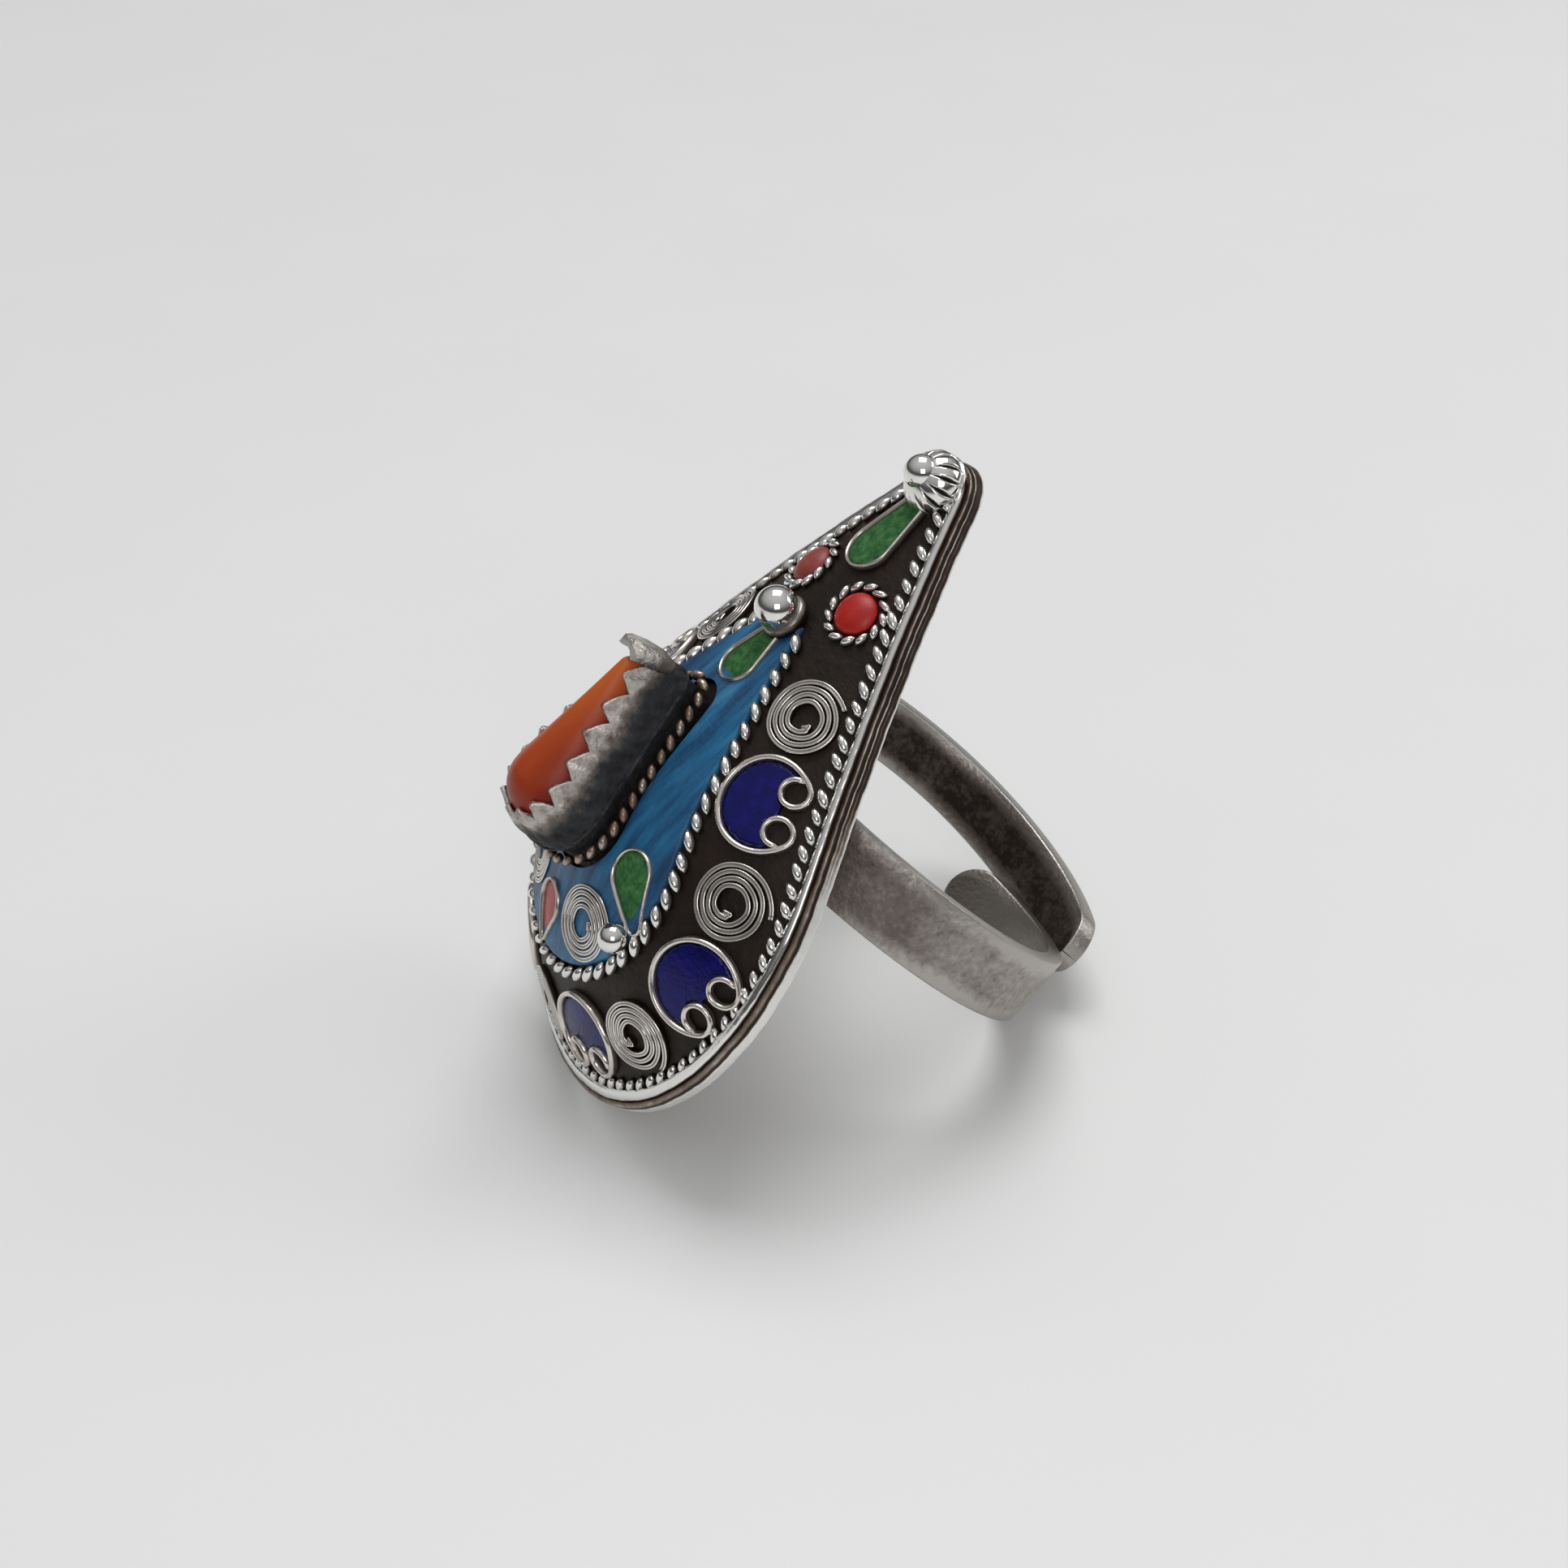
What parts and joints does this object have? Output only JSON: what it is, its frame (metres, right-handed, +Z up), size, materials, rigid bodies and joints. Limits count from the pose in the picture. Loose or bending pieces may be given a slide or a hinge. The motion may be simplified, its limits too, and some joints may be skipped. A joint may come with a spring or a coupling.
{
  "type": "shield ring",
  "caption": "Adjustable open silver ring with a domed teardrop shield, enamel cells, beaded wire and a coral cabochon in a toothed collar.",
  "frame": {"origin": "centre of the bounding box's foot, on the floor that the ring rests on", "axes": "+Z up in the rest pose; X across the shield; the shield faces -Y and up, and its tip leans toward +Y"},
  "size_m": [0.0224, 0.0278, 0.0274],
  "materials": {
    "silver": "oxidised silver, dark in the recesses and worn bright on the wires",
    "coral": "polished natural coral, orange shading to red-brown",
    "red_coral": "polished red coral",
    "green_enamel": "grainy green enamel",
    "red_enamel": "satin pinkish red enamel",
    "turquoise_enamel": "streaked turquoise and azure enamel",
    "lapis_enamel": "glossy dark blue enamel with chips"
  },
  "bodies": {
    "root": {"silver_body": "silver", "coral_cabochon": "coral", "red_coral_right": "red_coral", "red_coral_left": "red_coral", "green_drop_tip": "green_enamel", "green_drop_upper": "green_enamel", "green_drop_right": "green_enamel", "green_drop_left": "green_enamel", "red_drop": "red_enamel", "turquoise_field": "turquoise_enamel", "lapis_comma_1": "lapis_enamel", "lapis_comma_2": "lapis_enamel", "lapis_comma_3": "lapis_enamel", "lapis_comma_4": "lapis_enamel", "lapis_comma_5": "lapis_enamel", "lapis_comma_6": "lapis_enamel"}
  },
  "joints": []
}
